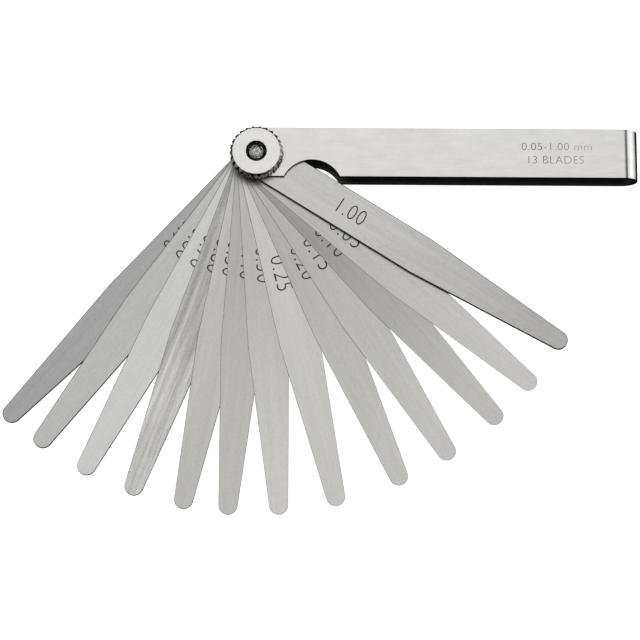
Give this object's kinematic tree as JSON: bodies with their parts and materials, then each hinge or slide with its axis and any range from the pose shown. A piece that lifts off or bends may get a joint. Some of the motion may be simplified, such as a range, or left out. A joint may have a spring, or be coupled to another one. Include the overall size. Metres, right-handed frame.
{
  "type": "feeler gauge",
  "caption": "Fan of tapered steel feeler blades on one pivot screw, in a hairpin-folded sheet-metal case with a thumb notch and a knurled lock nut.",
  "frame": {"origin": "on the pivot axis, at the flat outer face of the pivot screw's head, which is the lowest face as the gauge lies on its back", "axes": "+X along the case from the pivot to the fold, +Y across the case away from the thumb notch and the fanned blades, +Z out of the front plate along the pivot axis"},
  "size_m": [0.1646, 0.1018, 0.0121],
  "materials": {
    "case_nickel": "satin nickel plate, finely brushed along the case",
    "blade_steel": "hardened spring steel, ground bright along the blade",
    "nut_nickel": "turned and bright nickel plated, diamond knurl",
    "screw_steel": "turned steel, bright"
  },
  "bodies": {
    "case": {"case": "case_nickel", "pivot_screw": "screw_steel"},
    "lock_nut": {"lock_nut": "nut_nickel"},
    "blade_1_00": {"blade_1_00": "blade_steel"},
    "blade_0_05": {"blade_0_05": "blade_steel"},
    "blade_0_10": {"blade_0_10": "blade_steel"},
    "blade_0_15": {"blade_0_15": "blade_steel"},
    "blade_0_20": {"blade_0_20": "blade_steel"},
    "blade_0_25": {"blade_0_25": "blade_steel"},
    "blade_0_30": {"blade_0_30": "blade_steel"},
    "blade_0_40": {"blade_0_40": "blade_steel"},
    "blade_0_50": {"blade_0_50": "blade_steel"},
    "blade_0_60": {"blade_0_60": "blade_steel"},
    "blade_0_70": {"blade_0_70": "blade_steel"},
    "blade_0_80": {"blade_0_80": "blade_steel"},
    "blade_0_90": {"blade_0_90": "blade_steel"}
  },
  "joints": [
    {"name": "nut_turn", "type": "hinge", "parent": "case", "child": "lock_nut", "pos_m": [0, 0, 0.01057], "axis": [0, 0, 1], "range_deg": [0, 180]},
    {"name": "swing_1_00", "type": "hinge", "parent": "case", "child": "blade_1_00", "pos_m": [0, 0, 0.00763], "axis": [0, 0, 1], "range_deg": [-147.9, 32.1]},
    {"name": "swing_0_05", "type": "hinge", "parent": "case", "child": "blade_0_05", "pos_m": [0, 0, 0.00709], "axis": [0, 0, 1], "range_deg": [-139.6, 40.4]},
    {"name": "swing_0_10", "type": "hinge", "parent": "case", "child": "blade_0_10", "pos_m": [0, 0, 0.00699], "axis": [0, 0, 1], "range_deg": [-131.8, 48.2]},
    {"name": "swing_0_15", "type": "hinge", "parent": "case", "child": "blade_0_15", "pos_m": [0, 0, 0.00685], "axis": [0, 0, 1], "range_deg": [-122.3, 57.7]},
    {"name": "swing_0_20", "type": "hinge", "parent": "case", "child": "blade_0_20", "pos_m": [0, 0, 0.00665], "axis": [0, 0, 1], "range_deg": [-113.7, 66.3]},
    {"name": "swing_0_25", "type": "hinge", "parent": "case", "child": "blade_0_25", "pos_m": [0, 0, 0.00641], "axis": [0, 0, 1], "range_deg": [-103.2, 76.8]},
    {"name": "swing_0_30", "type": "hinge", "parent": "case", "child": "blade_0_30", "pos_m": [0, 0, 0.00611], "axis": [0, 0, 1], "range_deg": [-94.1, 85.9]},
    {"name": "swing_0_40", "type": "hinge", "parent": "case", "child": "blade_0_40", "pos_m": [0, 0, 0.00574], "axis": [0, 0, 1], "range_deg": [-86.1, 93.9]},
    {"name": "swing_0_50", "type": "hinge", "parent": "case", "child": "blade_0_50", "pos_m": [0, 0, 0.00527], "axis": [0, 0, 1], "range_deg": [-79, 101]},
    {"name": "swing_0_60", "type": "hinge", "parent": "case", "child": "blade_0_60", "pos_m": [0, 0, 0.0047], "axis": [0, 0, 1], "range_deg": [-70.8, 109.2]},
    {"name": "swing_0_70", "type": "hinge", "parent": "case", "child": "blade_0_70", "pos_m": [0, 0, 0.00403], "axis": [0, 0, 1], "range_deg": [-62.5, 117.5]},
    {"name": "swing_0_80", "type": "hinge", "parent": "case", "child": "blade_0_80", "pos_m": [0, 0, 0.00326], "axis": [0, 0, 1], "range_deg": [-54.1, 125.9]},
    {"name": "swing_0_90", "type": "hinge", "parent": "case", "child": "blade_0_90", "pos_m": [0, 0, 0.00239], "axis": [0, 0, 1], "range_deg": [-47.5, 132.5]}
  ]
}
